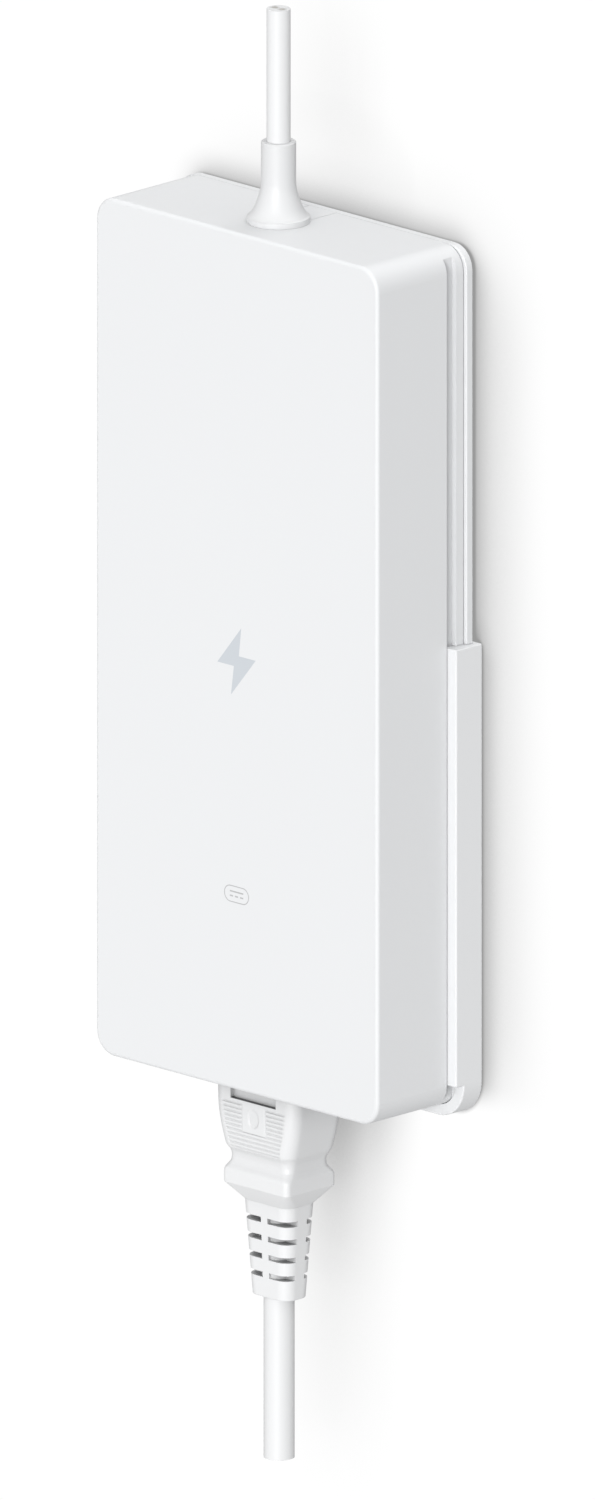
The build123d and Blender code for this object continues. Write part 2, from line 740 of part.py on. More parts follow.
# ================================================================ output side
secondary_sink_z = (171.0, 173.0)
with BuildPart() as secondary_heatsink:
    block((-30, 22), (board_face - heatsink_height, board_face), secondary_sink_z)
    for fin_x in range(-28, 20, 6):
        fin_y = (board_face - heatsink_height, board_face - 4)
        block((fin_x, fin_x + fin_thickness), fin_y, (secondary_sink_z[0] - 2, secondary_sink_z[0]))

with BuildPart() as output_rectifiers:
    for package_x in (-20, -4, 12):
        power_package(package_x, secondary_sink_z[1], "z")

output_can_radius = 5.0
output_can_length = 17.0
output_can_z = 188.0
with BuildPart() as output_capacitors:
    with BuildSketch(facing_front(board_face - 0.3)):
        with Locations(*[(can_x, up(output_can_z)) for can_x in (-26, -14, 14)]):
            Circle(output_can_radius)
    extrude(amount=output_can_length)
    fillet(output_capacitors.edges().filter_by(GeomType.CIRCLE), 0.7)

inductor_place = (29.0, 182.0)
inductor_outer = 7.0
inductor_inner = 2.5
inductor_length = 12.0
with BuildPart() as output_inductor:
    with BuildSketch(facing_front(board_face - 0.5)):
        with Locations((inductor_place[0], up(inductor_place[1]))):
            Circle(inductor_outer)
            Circle(inductor_inner, mode=Mode.SUBTRACT)
    extrude(amount=inductor_length)
    fillet(output_inductor.edges().filter_by(GeomType.CIRCLE), 1.5)

# Soft pads that fill the space between the hot parts' tops and the spreader.
pad_areas = (
    ((pfc_x - 13, pfc_x + 13), pfc_height, (pfc_z - 14, pfc_z + 14)),
    ((transformer_x - 17, transformer_x + 17), transformer_height, (transformer_z - 17, transformer_z + 17)),
    ((-41, -35), heatsink_height, (86, 166)),
    ((-29, 21), heatsink_height, (171, 177)),
)
with BuildPart() as thermal_pads:
    for pad_x, part_height, pad_z in pad_areas:
        block(pad_x, (spreader_back, board_face - part_height), pad_z)

# ================================================================ mains plug
# Levels count from the case's underside, so they are negative below it.
plug_top = -plug_top_gap
insert_low = -14.0
insert_size = (20.8, 12.6)
# (height, width, depth, corner radius) of the grip, from its top to its waist
grip_sections = (
    (plug_top, 28.0, 18.0, 3.0),
    (-5.5, 27.8, 18.0, 3.2),
    (-9.4, 27.0, 17.9, 3.2),
    (-12.4, 25.8, 17.7, 3.2),
    (-16.2, 23.7, 17.2, 3.2),
    (-17.6, 22.4, 16.1, 3.0),
    (-18.9, 21.2, 14.7, 2.6),
    (-20.8, 21.0, 14.6, 2.3),
)
ring_top = -23.2
ring_low = -26.4
ring_width = 22.4
ring_depth = 17.2
ring_radius = 1.5
relief_top = -30.7
relief_low = -54.7
relief_top_size = (16.5, 10.8)
relief_low_size = (13.4, 8.6)
relief_radius = 3.2
relief_core_radius = 4.25
slot_levels = (-35.6, -40.2, -44.9, -49.6)
slot_height = 1.4
front_spine = 2.2
side_spine = 3.1
jacket_top = -24.0
contact_low = -10.0
contact_wall = 0.6
contact_top = 14.5
contact_mouth = 1.5
crimp_radius = 1.35
cord_core_places = ((-1.45, 0.85), (0.0, -1.65), (1.45, 0.85))
slot_reach = (20.0, 16.0)


def plug_section(height, width, depth, radius):
    """One rounded-rectangle section of the plug."""
    with BuildSketch(Plane.XY.offset(up(height))) as section:
        with Locations((0, inlet_y)):
            RectangleRounded(width, depth, radius)
    return section.sketch


def core_path(core_place, pin_place):
    """Run of one mains core, up the cord and then out to its contact, and the point it starts from."""
    low = (core_place[0], inlet_y + core_place[1], up(-cord_reach))
    bend = (low[0], low[1], up(jacket_top + 1))
    top = (pin_place[0], pin_place[1], up(insert_low - 1))
    with BuildLine() as path:
        Line(low, bend)
        Spline(bend, top, tangents=((0, 0, 1), (0, 0, 1)))
    return path, low


def mains_cores(outer, inner):
    """The three mains cores as tubes, or as solid runs with an inner radius of 0."""
    for core_place, pin_place in zip(cord_core_places, pin_places):
        cord_path, cord_start = core_path(core_place, pin_place)
        tube_along(cord_path, cord_start, outer, inner, (0, 0, 1))


with BuildPart() as cord_cores:
    mains_cores(cord_core_radius, cord_wire_radius + press_gap)

with BuildPart() as cord_conductors:
    mains_cores(cord_wire_radius, 0)

with BuildPart() as cord_voids:
    mains_cores(cord_core_radius + press_gap, 0)

with BuildPart() as cord_jacket:
    with BuildSketch(Plane.XY.offset(up(-cord_reach))):
        with Locations((0, inlet_y)):
            Circle(cord_radius)
    extrude(amount=cord_reach + jacket_top)
    add(cord_voids.part, mode=Mode.SUBTRACT)

with BuildPart() as plug_insert:
    with BuildSketch(Plane.XY.offset(up(plug_top))):
        keyed_rectangle(0)
    extrude(amount=nose_length - plug_top)
    inlet_block(insert_size, insert_low, plug_top)
    with BuildSketch(Plane.XY.offset(up(contact_low))):
        with Locations(*pin_places):
            Rectangle(pin_thickness + 2 * contact_wall, pin_width + 2 * contact_wall)
    extrude(amount=nose_length - contact_low, mode=Mode.SUBTRACT)
    with BuildSketch(Plane.XY.offset(up(insert_low))):
        with Locations(*pin_places):
            Circle(crimp_radius)
    extrude(amount=contact_low - insert_low, mode=Mode.SUBTRACT)

with BuildPart() as plug_contacts:
    contact_base = contact_low + sliding_gap
    contact_grow = 2 * (contact_wall - sliding_gap)
    with BuildSketch(Plane.XY.offset(up(contact_base))):
        with Locations(*pin_places):
            Rectangle(pin_thickness + contact_grow, pin_width + contact_grow)
    extrude(amount=contact_top - contact_base)
    with BuildSketch(Plane.XY.offset(up(contact_base + contact_mouth))):
        with Locations(*pin_places):
            Rectangle(pin_thickness + 2 * sliding_gap, pin_width + 2 * sliding_gap)
    extrude(amount=contact_top - contact_base, mode=Mode.SUBTRACT)
    with BuildSketch(Plane.XY.offset(up(insert_low))):
        with Locations(*pin_places):
            Circle(crimp_radius - sliding_gap)
    extrude(amount=contact_base - insert_low)

with BuildPart() as plug_overmould:
    ring_bottom = plug_section(ring_low, ring_width, ring_depth, ring_radius)
    relief_start = plug_section(relief_top, *relief_top_size, relief_radius)
    relief_end = plug_section(relief_low, *relief_low_size, relief_radius)
    loft([plug_section(*section) for section in grip_sections], ruled=True)
    loft([plug_section(*grip_sections[-1]), plug_section(ring_top, ring_width, ring_depth, ring_radius)])
    extrude(ring_bottom, amount=ring_top - ring_low)
    loft([ring_bottom, relief_start])
    loft([relief_start, relief_end])
    for level in slot_levels:
        with BuildSketch(Plane.XY.offset(up(level))):
            with Locations((0, inlet_y)):
                Rectangle(*slot_reach)
                Circle(relief_core_radius, mode=Mode.SUBTRACT)
                Rectangle(front_spine, slot_reach[1], mode=Mode.SUBTRACT)
                Rectangle(slot_reach[0], side_spine, mode=Mode.SUBTRACT)
        extrude(amount=slot_height, mode=Mode.SUBTRACT)
    pocket_size = (insert_size[0] + 2 * press_gap, insert_size[1] + 2 * press_gap)
    inlet_block(pocket_size, insert_low - press_gap, plug_top, mode=Mode.SUBTRACT)
    with BuildSketch(Plane.XY.offset(up(relief_low - 1))):
        with Locations((0, inlet_y)):
            Circle(cord_radius + press_gap)
    extrude(amount=jacket_top - relief_low + 1, mode=Mode.SUBTRACT)
    add(cord_voids.part, mode=Mode.SUBTRACT)

# ================================================================ export
pieces = {
    "wall_bracket": wall_bracket,
    "front_shell": front_shell,
    "rear_cover": rear_cover,
    "case_screws": case_screws,
    "board_screws": board_screws,
    "output_boot": output_boot,
    "output_lead_jacket": output_lead_jacket,
    "output_lead_cores": output_lead_cores,
    "output_lead_conductors": output_lead_conductors,
    "inlet_housing": inlet_housing,
    "inlet_pins": inlet_pins,
    "inlet_wires": inlet_wires,
    "main_board": main_board,
    "insulation_sheet": insulation_sheet,
    "heat_spreader": heat_spreader,
    "thermal_pads": thermal_pads,
    "fuse": fuse,
    "surge_varistor": surge_varistor,
    "inrush_thermistor": inrush_thermistor,
    "x_capacitor": x_capacitor,
    "y_capacitors": y_capacitors,
    "common_mode_choke_core": common_mode_choke_core,
    "common_mode_choke_windings": common_mode_choke_windings,
    "bridge_rectifier": bridge_rectifier,
    "bulk_capacitors": bulk_capacitors,
    "pfc_choke_core": pfc_choke_core,
    "pfc_choke_winding": pfc_choke_winding,
    "primary_heatsink": primary_heatsink,
    "primary_switches": primary_switches,
    "transformer_core": transformer_core,
    "transformer_bobbin": transformer_bobbin,
    "transformer_windings": transformer_windings,
    "controller_board": controller_board,
    "optocouplers": optocouplers,
    "secondary_heatsink": secondary_heatsink,
    "output_rectifiers": output_rectifiers,
    "output_capacitors": output_capacitors,
    "output_inductor": output_inductor,
    "plug_overmould": plug_overmould,
    "plug_insert": plug_insert,
    "plug_contacts": plug_contacts,
    "cord_jacket": cord_jacket,
    "cord_cores": cord_cores,
    "cord_conductors": cord_conductors,
}
for name, piece in pieces.items():
    piece.part.label = name
    export_step(piece.part, f"parts/{name}.step")
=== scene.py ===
import math

import bmesh
import bpy
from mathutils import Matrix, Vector


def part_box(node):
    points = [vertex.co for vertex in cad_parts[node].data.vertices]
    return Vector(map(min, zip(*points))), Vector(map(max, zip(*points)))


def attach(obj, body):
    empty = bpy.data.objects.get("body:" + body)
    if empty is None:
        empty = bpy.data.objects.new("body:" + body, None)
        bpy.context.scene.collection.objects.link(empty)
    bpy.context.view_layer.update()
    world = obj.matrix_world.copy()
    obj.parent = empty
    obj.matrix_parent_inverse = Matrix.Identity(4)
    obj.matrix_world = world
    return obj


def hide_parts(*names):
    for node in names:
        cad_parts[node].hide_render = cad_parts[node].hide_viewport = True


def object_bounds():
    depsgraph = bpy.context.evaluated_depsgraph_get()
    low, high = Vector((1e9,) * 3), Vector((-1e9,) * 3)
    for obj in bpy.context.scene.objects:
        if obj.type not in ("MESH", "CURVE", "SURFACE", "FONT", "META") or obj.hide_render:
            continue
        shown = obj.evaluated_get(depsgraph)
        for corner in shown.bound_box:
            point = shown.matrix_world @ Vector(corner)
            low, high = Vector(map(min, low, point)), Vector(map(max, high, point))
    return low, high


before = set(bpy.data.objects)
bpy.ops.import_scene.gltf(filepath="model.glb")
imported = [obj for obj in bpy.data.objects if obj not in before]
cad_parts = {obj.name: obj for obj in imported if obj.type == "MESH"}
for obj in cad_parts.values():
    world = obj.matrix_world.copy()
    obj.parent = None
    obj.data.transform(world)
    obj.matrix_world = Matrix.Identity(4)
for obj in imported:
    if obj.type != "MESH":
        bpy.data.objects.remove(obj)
cad_low, cad_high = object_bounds()

MM = 0.001

# ---------------------------------------------------------------- places taken from the frame
shell_low, shell_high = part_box("front_shell")
cord_low, cord_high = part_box("cord_jacket")
front_y = shell_low.y
case_bottom = shell_low.z
case_top = shell_high.z
case_height = shell_high.z - shell_low.z
plug_axis_y = (cord_low.y + cord_high.y) / 2
cord_radius = (cord_high.x - cord_low.x) / 2
plug_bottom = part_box("plug_overmould")[0].z


# ---------------------------------------------------------------- material helpers
def srgb(red, green, blue):
    """Linear colour from 0-255 display values."""

    def linear(value):
        value /= 255
        return value / 12.92 if value <= 0.04045 else ((value + 0.055) / 1.055) ** 2.4

    return (linear(red), linear(green), linear(blue), 1.0)


def scaled(colour, factor):
    """A colour made darker or lighter by a factor, no brighter than white."""
    return [min(1.0, channel * factor) for channel in colour[:3]] + [1.0]


class Tree:
    """Small helper that adds and links shader nodes of one material."""

    def __init__(self, name):
        self.material = bpy.data.materials.new(name)
        self.material.use_nodes = True
        self.tree = self.material.node_tree
        self.tree.nodes.clear()
        self.output = self.tree.nodes.new("ShaderNodeOutputMaterial")

    def add(self, kind, inputs=None, **settings):
        node = self.tree.nodes.new(kind)
        for key, value in settings.items():
            setattr(node, key, value)
        for key, value in (inputs or {}).items():
            self.put(node.inputs[key], value)
        return node

    def put(self, socket, value):
        if isinstance(value, bpy.types.NodeSocket):
            self.tree.links.new(value, socket)
        elif socket.name == "Normal":
            node = self.add("ShaderNodeCombineXYZ", dict(zip("XYZ", value)))
            self.tree.links.new(node.outputs[0], socket)
        else:
            socket.default_value = value

    def place(self):
        """Position in the object's own metres."""
        return self.add("ShaderNodeTexCoord").outputs["Object"]

    def stretched(self, scale):
        """Position scaled by a factor along each axis."""
        inputs = {"Vector": self.place(), "Scale": scale}
        return self.add("ShaderNodeMapping", inputs).outputs["Vector"]

    def noise(self, scale, detail=2.0, vector=None):
        inputs = {"Vector": vector or self.place(), "Scale": scale, "Detail": detail}
        return self.add("ShaderNodeTexNoise", inputs).outputs["Fac"]

    def spread(self, value, low, high):
        """Maps 0..1 to low..high."""
        inputs = {"Value": value, "To Min": low, "To Max": high}
        return self.add("ShaderNodeMapRange", inputs).outputs["Result"]

    def fade(self, value, start, end):
        """Rises smoothly from 0 at the start value to 1 at the end value."""
        inputs = {"Value": value, "From Min": start, "From Max": end}
        node = self.add("ShaderNodeMapRange", inputs, interpolation_type="SMOOTHSTEP")
        return node.outputs["Result"]

    def blend(self, factor, first, second):
        """Number between two numbers."""
        return self.add("ShaderNodeMix", {0: factor, 2: first, 3: second}).outputs[0]

    def mix(self, factor, first, second):
        """Colour between two colours."""
        node = self.add("ShaderNodeMix", {0: factor, 6: first, 7: second}, data_type="RGBA")
        return node.outputs[2]

    def math(self, operation, first, second=0.0):
        return self.add("ShaderNodeMath", {0: first, 1: second}, operation=operation).outputs[0]

    def axis(self, letter):
        split = self.add("ShaderNodeSeparateXYZ", {"Vector": self.place()})
        return split.outputs[letter]

    def bump(self, height, strength, distance, rounding=0.0):
        inputs = {"Height": height, "Strength": strength, "Distance": distance}
        if rounding:
            bevel = self.add("ShaderNodeBevel", {"Radius": rounding}, samples=4)
            inputs["Normal"] = bevel.outputs["Normal"]
        return self.add("ShaderNodeBump", inputs).outputs["Normal"]

    def painted_hollow_shade(self, colour, reach=10 * MM, power=3.0, strength=0.3):
        """Painted shade: darkens a colour where other surfaces close in on it."""
        node = self.add("ShaderNodeAmbientOcclusion", {"Distance": reach}, samples=6)
        hidden = self.math("POWER", self.math("SUBTRACT", 1.0, node.outputs["AO"]), power)
        dark = self.spread(hidden, 1.0, 1.0 - strength)
        scale = self.add("ShaderNodeVectorMath", operation="SCALE")
        self.put(scale.inputs[0], colour)
        self.put(scale.inputs["Scale"], dark)
        return scale.outputs[0]

    def finish(self, colour, roughness, normal, metallic=0.0, coat=0.0):
        shader = self.add("ShaderNodeBsdfPrincipled")
        self.put(shader.inputs["Base Color"], colour)
        self.put(shader.inputs["Roughness"], roughness)
        self.put(shader.inputs["Metallic"], metallic)
        self.put(shader.inputs["Coat Weight"], coat)
        self.put(shader.inputs["Normal"], normal)
        self.tree.links.new(shader.outputs[0], self.output.inputs["Surface"])
        return self.material

    def one_sided(self, shader):
        """Ends a stage material that is clear from behind."""
        clear = self.add("ShaderNodeBsdfTransparent")
        backfacing = self.add("ShaderNodeNewGeometry").outputs["Backfacing"]
        both = self.add("ShaderNodeMixShader", {0: backfacing})
        self.put(both.inputs[1], shader)
        self.put(both.inputs[2], clear.outputs[0])
        self.tree.links.new(both.outputs[0], self.output.inputs["Surface"])
        return self.material


# ---------------------------------------------------------------- materials
def moulded_white(
    name, colour, roughness, grain_scale=3800.0, grain=0.12, rounding=0.25 * MM, shades=()
):
    """Moulded plastic: fine grain, faint flow clouding, softly broken edges, and painted shade
    where other surfaces close in.
    """
    tree = Tree(name)
    cloud = tree.noise(16.0, detail=1.0)
    colour = tree.mix(tree.spread(cloud, 0.0, 1.0), colour, scaled(colour, 0.988))
    colour = tree.painted_hollow_shade(colour)
    for reach, power, strength in shades:
        colour = tree.painted_hollow_shade(colour, reach * MM, power, strength)
    rough = tree.spread(tree.noise(420.0), roughness - 0.05, roughness + 0.05)
    normal = tree.bump(tree.noise(grain_scale, detail=3.0), grain, 0.03 * MM, rounding)
    return tree.finish(colour, rough, normal)


def cable_white(name, colour):
    """Extruded jacket: smooth, with very faint lengthwise streaks."""
    tree = Tree(name)
    streak = tree.noise(900.0, vector=tree.stretched((1.0, 1.0, 0.02)))
    colour = tree.mix(tree.spread(streak, 0.0, 0.6), colour, scaled(colour, 0.975))
    normal = tree.bump(streak, 0.08, 0.03 * MM)
    return tree.finish(colour, tree.spread(streak, 0.34, 0.42), normal)


def board_material(name):
    """Green solder mask over copper tracks."""
    tree = Tree(name)
    flat = tree.stretched((1.0, 0.0, 1.0))
    tracks = tree.add("ShaderNodeTexBrick", {"Vector": flat, "Scale": 90.0, "Mortar Size": 0.06})
    tracks.inputs["Color1"].default_value = (0, 0, 0, 1)
    tracks.inputs["Color2"].default_value = (0, 0, 0, 1)
    tracks.inputs["Mortar"].default_value = (1, 1, 1, 1)
    colour = tree.mix(tracks.outputs["Fac"], srgb(20, 92, 52), srgb(38, 120, 66))
    normal = tree.bump(tracks.outputs["Fac"], 0.3, 0.05 * MM)
    return tree.finish(colour, 0.35, normal, coat=0.3)


def wound_copper(name):
    """Enamelled wire wound in close turns."""
    tree = Tree(name)
    inputs = {"Vector": tree.place(), "Scale": 260.0, "Distortion": 0.4}
    turns = tree.add("ShaderNodeTexWave", inputs, bands_direction="DIAGONAL").outputs["Fac"]
    colour = tree.mix(turns, srgb(128, 62, 26), srgb(214, 124, 62))
    return tree.finish(colour, 0.3, tree.bump(turns, 0.8, 0.2 * MM), metallic=0.85, coat=0.4)


def bright_metal(name, colour, roughness, streaks=(1.0, 1.0, 0.05)):
    """Plain metal with drawn or brushed streaks."""
    tree = Tree(name)
    streak = tree.noise(2400.0, detail=3.0, vector=tree.stretched(streaks))
    colour = tree.mix(streak, colour, scaled(colour, 0.8))
    rough = tree.spread(streak, roughness - 0.08, roughness + 0.08)
    return tree.finish(colour, rough, tree.bump(streak, 0.15, 0.03 * MM, 0.1 * MM), metallic=1.0)


def speckled(name, colour, roughness, scale=1500.0, contrast=0.75, coat=0.0):
    """Sintered, potted or lacquered body with a fine speckle."""
    tree = Tree(name)
    speck = tree.noise(scale, detail=4.0)
    colour = tree.mix(speck, scaled(colour, contrast), colour)
    normal = tree.bump(speck, 0.25, 0.05 * MM, 0.2 * MM)
    rough = tree.spread(speck, roughness - 0.05, roughness + 0.1)
    return tree.finish(colour, rough, normal, coat=coat)


def coloured_cores(name, low_x, high_x):
    """Core insulation: brown, green-yellow and blue from left to right."""
    tree = Tree(name)
    x = tree.axis("X")
    left = tree.math("LESS_THAN", x, low_x)
    right = tree.math("GREATER_THAN", x, high_x)
    stripe = tree.add("ShaderNodeTexWave", {"Vector": tree.place(), "Scale": 120.0}).outputs["Fac"]
    middle = tree.mix(tree.math("GREATER_THAN", stripe, 0.5), srgb(60, 140, 60), srgb(225, 205, 60))
    colour = tree.mix(left, middle, srgb(104, 62, 38))
    colour = tree.mix(right, colour, srgb(48, 92, 178))
    grain = tree.noise(2500.0)
    return tree.finish(colour, 0.45, tree.bump(grain, 0.1, 0.03 * MM))


def capacitor_sleeve(name):
    """Dark shrunk sleeve with pale patches."""
    tree = Tree(name)
    stripe = tree.math("GREATER_THAN", tree.noise(60.0, detail=0.0), 0.62)
    colour = tree.mix(stripe, srgb(34, 38, 58), srgb(150, 156, 170))
    wrinkle = tree.noise(700.0, vector=tree.stretched((1.0, 1.0, 0.2)))
    return tree.finish(colour, 0.3, tree.bump(wrinkle, 0.2, 0.08 * MM, 0.2 * MM), coat=0.4)


def fuse_material(name, low_x, high_x):
    """Ceramic tube between two plated caps."""
    tree = Tree(name)
    x = tree.axis("X")
    left = tree.math("LESS_THAN", x, low_x)
    right = tree.math("GREATER_THAN", x, high_x)
    caps = tree.math("MAXIMUM", left, right)
    colour = tree.mix(caps, srgb(226, 220, 205), srgb(190, 188, 182))
    grain = tree.noise(1800.0)
    return tree.finish(colour, 0.35, tree.bump(grain, 0.15, 0.03 * MM), metallic=caps)


def film_box(name, colour):
    """Glossy moulded capacitor box."""
    tree = Tree(name)
    cloud = tree.noise(300.0, detail=3.0)
    colour = tree.mix(cloud, colour, scaled(colour, 0.9))
    return tree.finish(colour, 0.28, tree.bump(cloud, 0.2, 0.05 * MM, 0.3 * MM), coat=0.3)


def ink_material(name, colour):
    """Pad-printed ink: flat, slightly broken up by the plastic's grain."""
    tree = Tree(name)
    grain = tree.noise(5200.0, detail=2.0)
    colour = tree.mix(tree.spread(grain, 0.0, 0.5), colour, scaled(colour, 1.03))
    return tree.finish(colour, 0.5, tree.bump(grain, 0.1, 0.02 * MM))


CASE_WHITE = (0.680, 0.688, 0.698, 1.0)
BRACKET_WHITE = (0.706, 0.713, 0.722, 1.0)
CABLE_WHITE = (0.688, 0.693, 0.699, 1.0)
PLUG_WHITE = (0.697, 0.702, 0.709, 1.0)
BOOT_WHITE = (0.632, 0.637, 0.643, 1.0)

# Reach in mm, power and strength of each painted shade in a hollow; the grip's middle one paints
# the case's shade over its upper part.
GRIP_PAINTED_SHADES = ((30, 1.5, 0.28), (14, 2.0, 1.3), (2, 1.2, 0.5))
RELIEF_PAINTED_SHADES = ((30, 1.5, 0.28), (2, 1.2, 0.45))
PVC_GRAIN = {"grain_scale": 2600.0, "grain": 0.08, "rounding": 0.0}
RUBBER_GRAIN = {"grain_scale": 2600.0, "grain": 0.08}
CORD_CORE_SPLIT = 0.7 * MM
INLET_WIRE_SPLIT = 3 * MM
FUSE_CAP = 5 * MM

fuse_low, fuse_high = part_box("fuse")
case_plastic = moulded_white("case_plastic", CASE_WHITE, 0.5)
bracket_plastic = moulded_white("bracket_plastic", BRACKET_WHITE, 0.52)
boot_rubber = moulded_white("boot_rubber", BOOT_WHITE, 0.42, **RUBBER_GRAIN)
grip_pvc = moulded_white("grip_pvc", PLUG_WHITE, 0.42, **PVC_GRAIN, shades=GRIP_PAINTED_SHADES)
relief_pvc = moulded_white("relief_pvc", PLUG_WHITE, 0.42, **PVC_GRAIN, shades=RELIEF_PAINTED_SHADES)
insert_plastic = moulded_white("insert_plastic", (0.8, 0.8, 0.79, 1.0), 0.35, grain=0.05)
cable_jacket = cable_white("cable_jacket", CABLE_WHITE)
inlet_plastic = moulded_white("inlet_plastic", (0.66, 0.66, 0.65, 1.0), 0.45)
logo_ink = ink_material("logo_ink", (0.497, 0.526, 0.558, 1.0))
rating_ink = ink_material("rating_ink", (0.400, 0.402, 0.408, 1.0))
wires = coloured_cores("core_colours", -CORD_CORE_SPLIT, CORD_CORE_SPLIT)
lead_wires = speckled("lead_wires", (0.66, 0.66, 0.66, 1.0), 0.45, contrast=0.95)
inlet_wire_colours = coloured_cores("inlet_wire_colours", -INLET_WIRE_SPLIT, INLET_WIRE_SPLIT)
copper_wire = bright_metal("copper_wire", srgb(206, 122, 74), 0.3)
tinned_wire = bright_metal("tinned_wire", srgb(214, 211, 205), 0.35)
contact_brass = bright_metal("contact_brass", srgb(212, 184, 118), 0.28)
plated_pin = bright_metal("plated_pin", srgb(208, 205, 196), 0.2)
screw_zinc = bright_metal("screw_zinc", srgb(178, 180, 184), 0.3, streaks=(1.0, 1.0, 1.0))
sheet_aluminium = bright_metal("sheet_aluminium", srgb(196, 198, 202), 0.38)
green_board = board_material("green_board")
winding = wound_copper("winding")
ferrite = speckled("ferrite", srgb(62, 62, 66), 0.6)
black_epoxy = speckled("black_epoxy", srgb(36, 36, 38), 0.45, scale=3200.0)
silicone_pad = speckled("silicone_pad", srgb(150, 158, 176), 0.7, scale=900.0, contrast=0.9)
LACQUER = {"scale": 600.0, "contrast": 0.85}
blue_lacquer = speckled("blue_lacquer", srgb(48, 96, 176), 0.3, **LACQUER, coat=0.4)
dark_lacquer = speckled("dark_lacquer", srgb(52, 62, 50), 0.35, **LACQUER, coat=0.3)
black_film = film_box("black_film", srgb(34, 34, 36))
yellow_box = film_box("yellow_box", srgb(226, 190, 60))
sleeve = capacitor_sleeve("sleeve")
fuse_tube = fuse_material("fuse_tube", fuse_low.x + FUSE_CAP, fuse_high.x - FUSE_CAP)

NODE_MATERIALS = {
    "wall_bracket": bracket_plastic,
    "front_shell": case_plastic,
    "rear_cover": case_plastic,
    "case_screws": screw_zinc,
    "board_screws": screw_zinc,
    "output_boot": boot_rubber,
    "output_lead_jacket": cable_jacket,
    "output_lead_cores": lead_wires,
    "output_lead_conductors": tinned_wire,
    "inlet_housing": inlet_plastic,
    "inlet_pins": plated_pin,
    "inlet_wires": inlet_wire_colours,
    "main_board": green_board,
    "insulation_sheet": black_film,
    "heat_spreader": sheet_aluminium,
    "thermal_pads": silicone_pad,
    "fuse": fuse_tube,
    "surge_varistor": blue_lacquer,
    "inrush_thermistor": dark_lacquer,
    "x_capacitor": yellow_box,
    "y_capacitors": blue_lacquer,
    "common_mode_choke_core": ferrite,
    "common_mode_choke_windings": winding,
    "bridge_rectifier": black_epoxy,
    "bulk_capacitors": sleeve,
    "pfc_choke_core": ferrite,
    "pfc_choke_winding": winding,
    "primary_heatsink": sheet_aluminium,
    "primary_switches": black_epoxy,
    "transformer_core": ferrite,
    "transformer_bobbin": black_epoxy,
    "transformer_windings": winding,
    "controller_board": green_board,
    "optocouplers": black_epoxy,
    "secondary_heatsink": sheet_aluminium,
    "output_rectifiers": black_epoxy,
    "output_capacitors": sleeve,
    "output_inductor": black_epoxy,
    "plug_overmould": grip_pvc,
    "plug_insert": insert_plastic,
    "plug_contacts": contact_brass,
    "cord_jacket": cable_jacket,
    "cord_cores": wires,
    "cord_conductors": copper_wire,
}
for node_name, node_material in NODE_MATERIALS.items():
    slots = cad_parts[node_name].data.materials
    slots.clear()
    slots.append(node_material)


# ---------------------------------------------------------------- mesh helpers
def add_piece(name, mesh, material, body):
    """Links a finished mesh as a piece that rides on a body."""
    piece = bpy.data.objects.new(name, mesh)
    bpy.context.scene.collection.objects.link(piece)
    mesh.materials.append(material)
    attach(piece, body)
    return piece


def mesh_from(name, bm, smooth_angle=None):
    """Mesh from a bmesh, its normals outward, and its faces smooth below an angle in degrees."""
    bmesh.ops.recalc_face_normals(bm, faces=bm.faces)
    mesh = bpy.data.meshes.new(name)
    bm.to_mesh(mesh)
    bm.free()
    if smooth_angle is not None:
        mesh.shade_smooth()
        mesh.set_sharp_from_angle(angle=math.radians(smooth_angle))
    return mesh


def loft_rings(bm, rings):
    """Closed skin through rings that have the same number of points."""
    loops = [[bm.verts.new(point) for point in ring] for ring in rings]
    count = len(loops[0])
    for lower, upper in zip(loops, loops[1:]):
        for i in range(count):
            j = (i + 1) % count
            bm.faces.new((lower[i], lower[j], upper[j], upper[i]))
    bm.faces.new(loops[0][::-1])
    bm.faces.new(loops[-1])


# ---------------------------------------------------------------- mains plug
# All in mm. Heights are taken from the case's underside, so they are negative.
# Each section of the grip holds a height, a width, a depth and a corner radius.
GRIP_SECTIONS = (
    (-0.5, 28.0, 18.0, 3.3),
    (-5.5, 27.8, 18.0, 3.3),
    (-9.4, 27.0, 17.9, 3.3),
    (-12.4, 25.8, 17.7, 3.3),
    (-14.6, 24.6, 17.45, 3.3),
    (-16.2, 23.7, 17.15, 3.2),
    (-17.0, 23.1, 16.75, 3.1),
    (-17.6, 22.4, 16.0, 3.0),
    (-18.2, 21.8, 15.2, 2.8),
    (-18.9, 21.2, 14.7, 2.6),
    (-19.8, 20.9, 14.45, 2.4),
    (-20.8, 21.0, 14.6, 2.3),
    (-21.6, 21.5, 15.3, 2.1),
    (-22.2, 22.0, 16.2, 1.9),
    (-22.7, 22.35, 16.9, 1.7),
    (-23.2, 22.5, 17.25, 1.6),
    (-23.8, 22.5, 17.3, 1.5),
)
RING_LOW = -26.4
TAPER_LOW = -30.7
RELIEF_TOP = (16.5, 10.8, 3.2)
RELIEF_LOW = (13.4, 8.6, 3.2)
SLOT_LEVELS = (-35.6, -40.2, -44.9, -49.6)
SLOT_HEIGHT = 1.4
SPINE_HALF_WIDTH = 1.1
SPINE_HALF_DEPTH = 1.55
CORE_RADIUS = 4.25
CUTTER_REACH = (9.5, 6.5)
RIB_PITCH = 1.13
RIB_DEPTH = 0.2
RIB_TOP = -5.2
RIB_LOW = -17.45
RIB_COLUMNS = 7.95
PATCH_HALF_WIDTH = 4.05
PATCH_LOW = -12.4
PATCH_LINE_DEPTH = 0.12
DIMPLE_HEIGHT = -8.6
DIMPLE_HALF_WIDTH = 1.9
DIMPLE_HALF_HEIGHT = 2.5
DIMPLE_DEPTH = 0.3
PANEL_HALF_WIDTH = 7.75
PANEL_LOW = -4.5
PANEL_DEPTH = 0.9
# Half the width of a softened edge, then the steps down the grip with its ribs and below them.
EDGE = 0.1
FINE_STEP = 0.08
COARSE_STEP = 0.14
